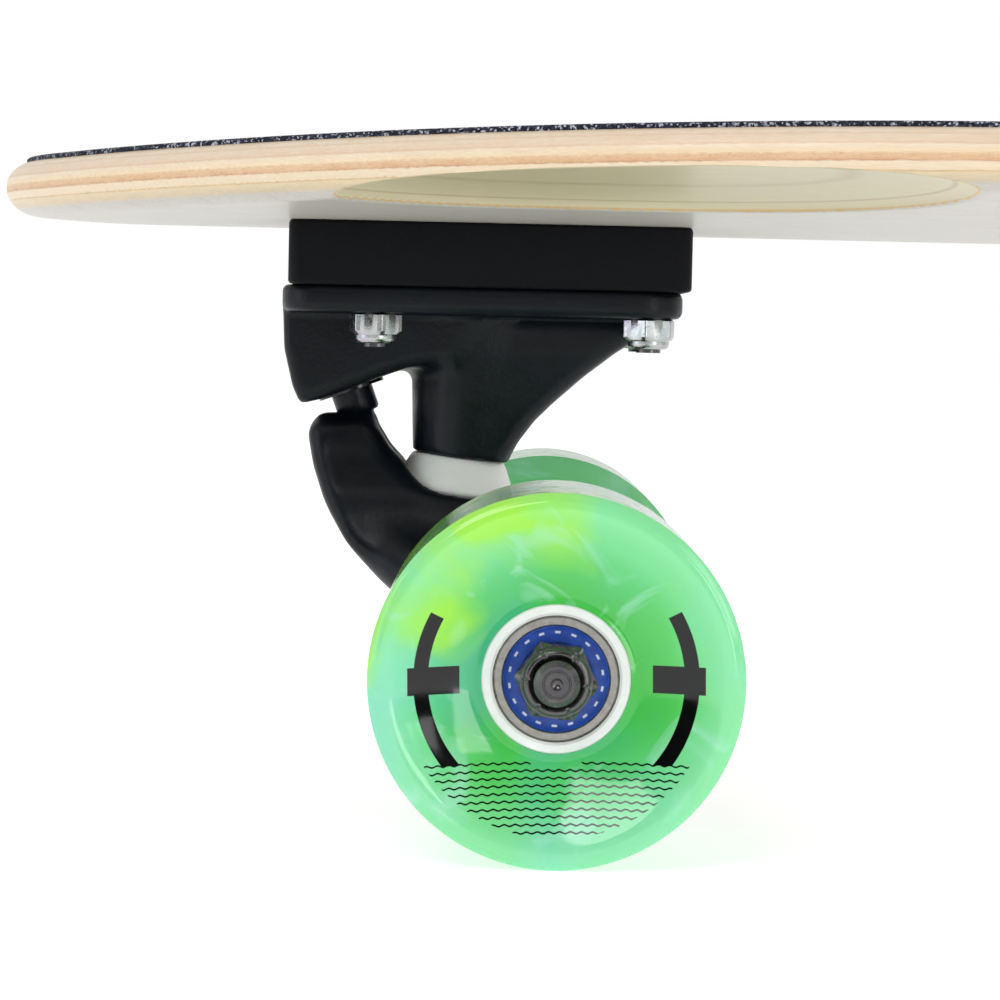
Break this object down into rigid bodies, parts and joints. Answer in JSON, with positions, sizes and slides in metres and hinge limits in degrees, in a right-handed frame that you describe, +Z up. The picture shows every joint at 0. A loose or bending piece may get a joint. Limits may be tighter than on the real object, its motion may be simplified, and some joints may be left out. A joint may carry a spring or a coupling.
{
  "type": "skateboard",
  "caption": "Wide carving skateboard with a tapered nose, kicktail, steering trucks on risers and large swirl-coloured wheels.",
  "frame": {"origin": "on the ground, midway along and across the board", "axes": "+X from nose to tail, +Y towards the rider's right when facing the nose, +Z up"},
  "size_m": [0.762, 0.248, 0.146],
  "materials": {
    "deck": "satin clear-coated maple plies",
    "grip_tape": "coarse charcoal abrasive grit",
    "riser": "matte black moulded rubber",
    "casting": "satin blue-black powder coat",
    "pivot_cup": "glossy black urethane",
    "bright_steel": "bright zinc plated steel",
    "bushing": "semi-gloss white urethane",
    "black_steel": "black oxide steel",
    "bearing_steel": "ground bearing steel",
    "bearing_shield": "satin blue rubber seal",
    "tyre": "glossy urethane with a green and mint swirl",
    "core": "semi-gloss white plastic"
  },
  "bodies": {
    "board": {"deck": "deck", "grip_tape": "grip_tape", "front_riser_pad": "riser", "front_baseplate": "casting", "front_pivot_cup": "pivot_cup", "front_kingpin": "bright_steel", "front_kingpin_nut": "bright_steel", "front_upper_bushing": "bushing", "front_lower_bushing": "bushing", "front_cup_washer": "bright_steel", "front_mounting_bolts": "black_steel", "front_mounting_nuts": "bright_steel", "rear_riser_pad": "riser", "rear_baseplate": "casting", "rear_pivot_cup": "pivot_cup", "rear_kingpin": "bright_steel", "rear_kingpin_nut": "bright_steel", "rear_upper_bushing": "bushing", "rear_lower_bushing": "bushing", "rear_cup_washer": "bright_steel", "rear_mounting_bolts": "black_steel", "rear_mounting_nuts": "bright_steel"},
    "front_hanger_assembly": {"front_hanger": "casting", "front_axle": "black_steel", "front_speed_washers": "bright_steel", "front_axle_nuts": "black_steel", "front_bearing_inner_rings": "bearing_steel", "front_bearing_spacers": "bright_steel"},
    "rear_hanger_assembly": {"rear_hanger": "casting", "rear_axle": "black_steel", "rear_speed_washers": "bright_steel", "rear_axle_nuts": "black_steel", "rear_bearing_inner_rings": "bearing_steel", "rear_bearing_spacers": "bright_steel"},
    "front_left_wheel": {"front_left_tyre": "tyre", "front_left_core": "core", "front_left_bearing_outer_rings": "bearing_steel", "front_left_bearing_balls": "bearing_steel", "front_left_bearing_shields": "bearing_shield"},
    "front_right_wheel": {"front_right_tyre": "tyre", "front_right_core": "core", "front_right_bearing_outer_rings": "bearing_steel", "front_right_bearing_balls": "bearing_steel", "front_right_bearing_shields": "bearing_shield"},
    "rear_left_wheel": {"rear_left_tyre": "tyre", "rear_left_core": "core", "rear_left_bearing_outer_rings": "bearing_steel", "rear_left_bearing_balls": "bearing_steel", "rear_left_bearing_shields": "bearing_shield"},
    "rear_right_wheel": {"rear_right_tyre": "tyre", "rear_right_core": "core", "rear_right_bearing_outer_rings": "bearing_steel", "rear_right_bearing_balls": "bearing_steel", "rear_right_bearing_shields": "bearing_shield"}
  },
  "joints": [
    {"name": "front_steer", "type": "hinge", "parent": "board", "child": "front_hanger_assembly", "pos_m": [-0.3129, 0, 0.0872], "axis": [0.5871, 0, -0.8095], "range_deg": [-25, 25], "stiffness_Nm_per_rad": 30, "deforming": ["front_upper_bushing", "front_lower_bushing"]},
    {"name": "rear_steer", "type": "hinge", "parent": "board", "child": "rear_hanger_assembly", "pos_m": [0.2433, 0, 0.0872], "axis": [0.5871, 0, 0.8095], "range_deg": [-25, 25], "stiffness_Nm_per_rad": 30, "deforming": ["rear_upper_bushing", "rear_lower_bushing"]},
    {"name": "front_left_spin", "type": "hinge", "parent": "front_hanger_assembly", "child": "front_left_wheel", "pos_m": [-0.269, -0.0946, 0.0325], "axis": [0, 1, 0], "continuous": true},
    {"name": "front_right_spin", "type": "hinge", "parent": "front_hanger_assembly", "child": "front_right_wheel", "pos_m": [-0.269, 0.0946, 0.0325], "axis": [0, 1, 0], "continuous": true},
    {"name": "rear_left_spin", "type": "hinge", "parent": "rear_hanger_assembly", "child": "rear_left_wheel", "pos_m": [0.1994, -0.0946, 0.0325], "axis": [0, 1, 0], "continuous": true},
    {"name": "rear_right_spin", "type": "hinge", "parent": "rear_hanger_assembly", "child": "rear_right_wheel", "pos_m": [0.1994, 0.0946, 0.0325], "axis": [0, 1, 0], "continuous": true}
  ]
}
